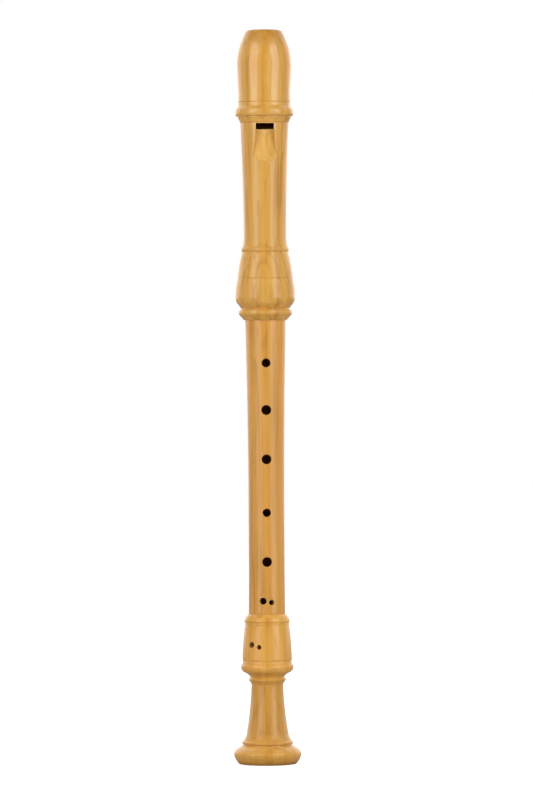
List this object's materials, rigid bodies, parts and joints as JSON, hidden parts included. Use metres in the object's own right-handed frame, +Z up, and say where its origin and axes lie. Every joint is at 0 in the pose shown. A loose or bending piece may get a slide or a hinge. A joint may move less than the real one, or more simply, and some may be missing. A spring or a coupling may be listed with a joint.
{
  "type": "alto recorder",
  "caption": "Three-joint turned wooden recorder with a beak, a window and ramp, finger holes down the front, a thumb hole behind and a flared foot to stand on.",
  "frame": {"origin": "centre of the foot's end face, which the recorder stands on", "axes": "+Z up the bore to the mouthpiece, -Y towards the player's view of the finger holes, -X to the side that the foot's holes are turned to"},
  "size_m": [0.0432, 0.0432, 0.47],
  "materials": {
    "body_wood": "oiled and waxed honey-coloured fruitwood, satin, glossier on the head",
    "block_cedar": "bare red cedar, matt",
    "tenon_cork": "greased cork, matt"
  },
  "bodies": {
    "foot": {"foot_joint": "body_wood"},
    "lower_cork": {"lower_tenon_cork": "tenon_cork"},
    "middle": {"middle_joint": "body_wood"},
    "upper_cork": {"upper_tenon_cork": "tenon_cork"},
    "head": {"head_joint": "body_wood"},
    "block": {"block": "block_cedar"}
  },
  "joints": [
    {"name": "middle_pull", "type": "slide", "parent": "foot", "child": "lower_cork", "axis": [0, 0, 1], "range_m": [0, 0.025]},
    {"name": "middle_turn", "type": "hinge", "parent": "lower_cork", "child": "middle", "pos_m": [0, 0, 0.088], "axis": [0, 0, 1], "continuous": true},
    {"name": "head_turn", "type": "hinge", "parent": "middle", "child": "upper_cork", "pos_m": [0, 0, 0.3], "axis": [0, 0, 1], "continuous": true},
    {"name": "head_pull", "type": "slide", "parent": "upper_cork", "child": "head", "axis": [0, 0, 1], "range_m": [0, 0.045]},
    {"name": "block_slide", "type": "slide", "parent": "head", "child": "block", "axis": [0, 0, 1], "range_m": [0, 0.07]}
  ]
}
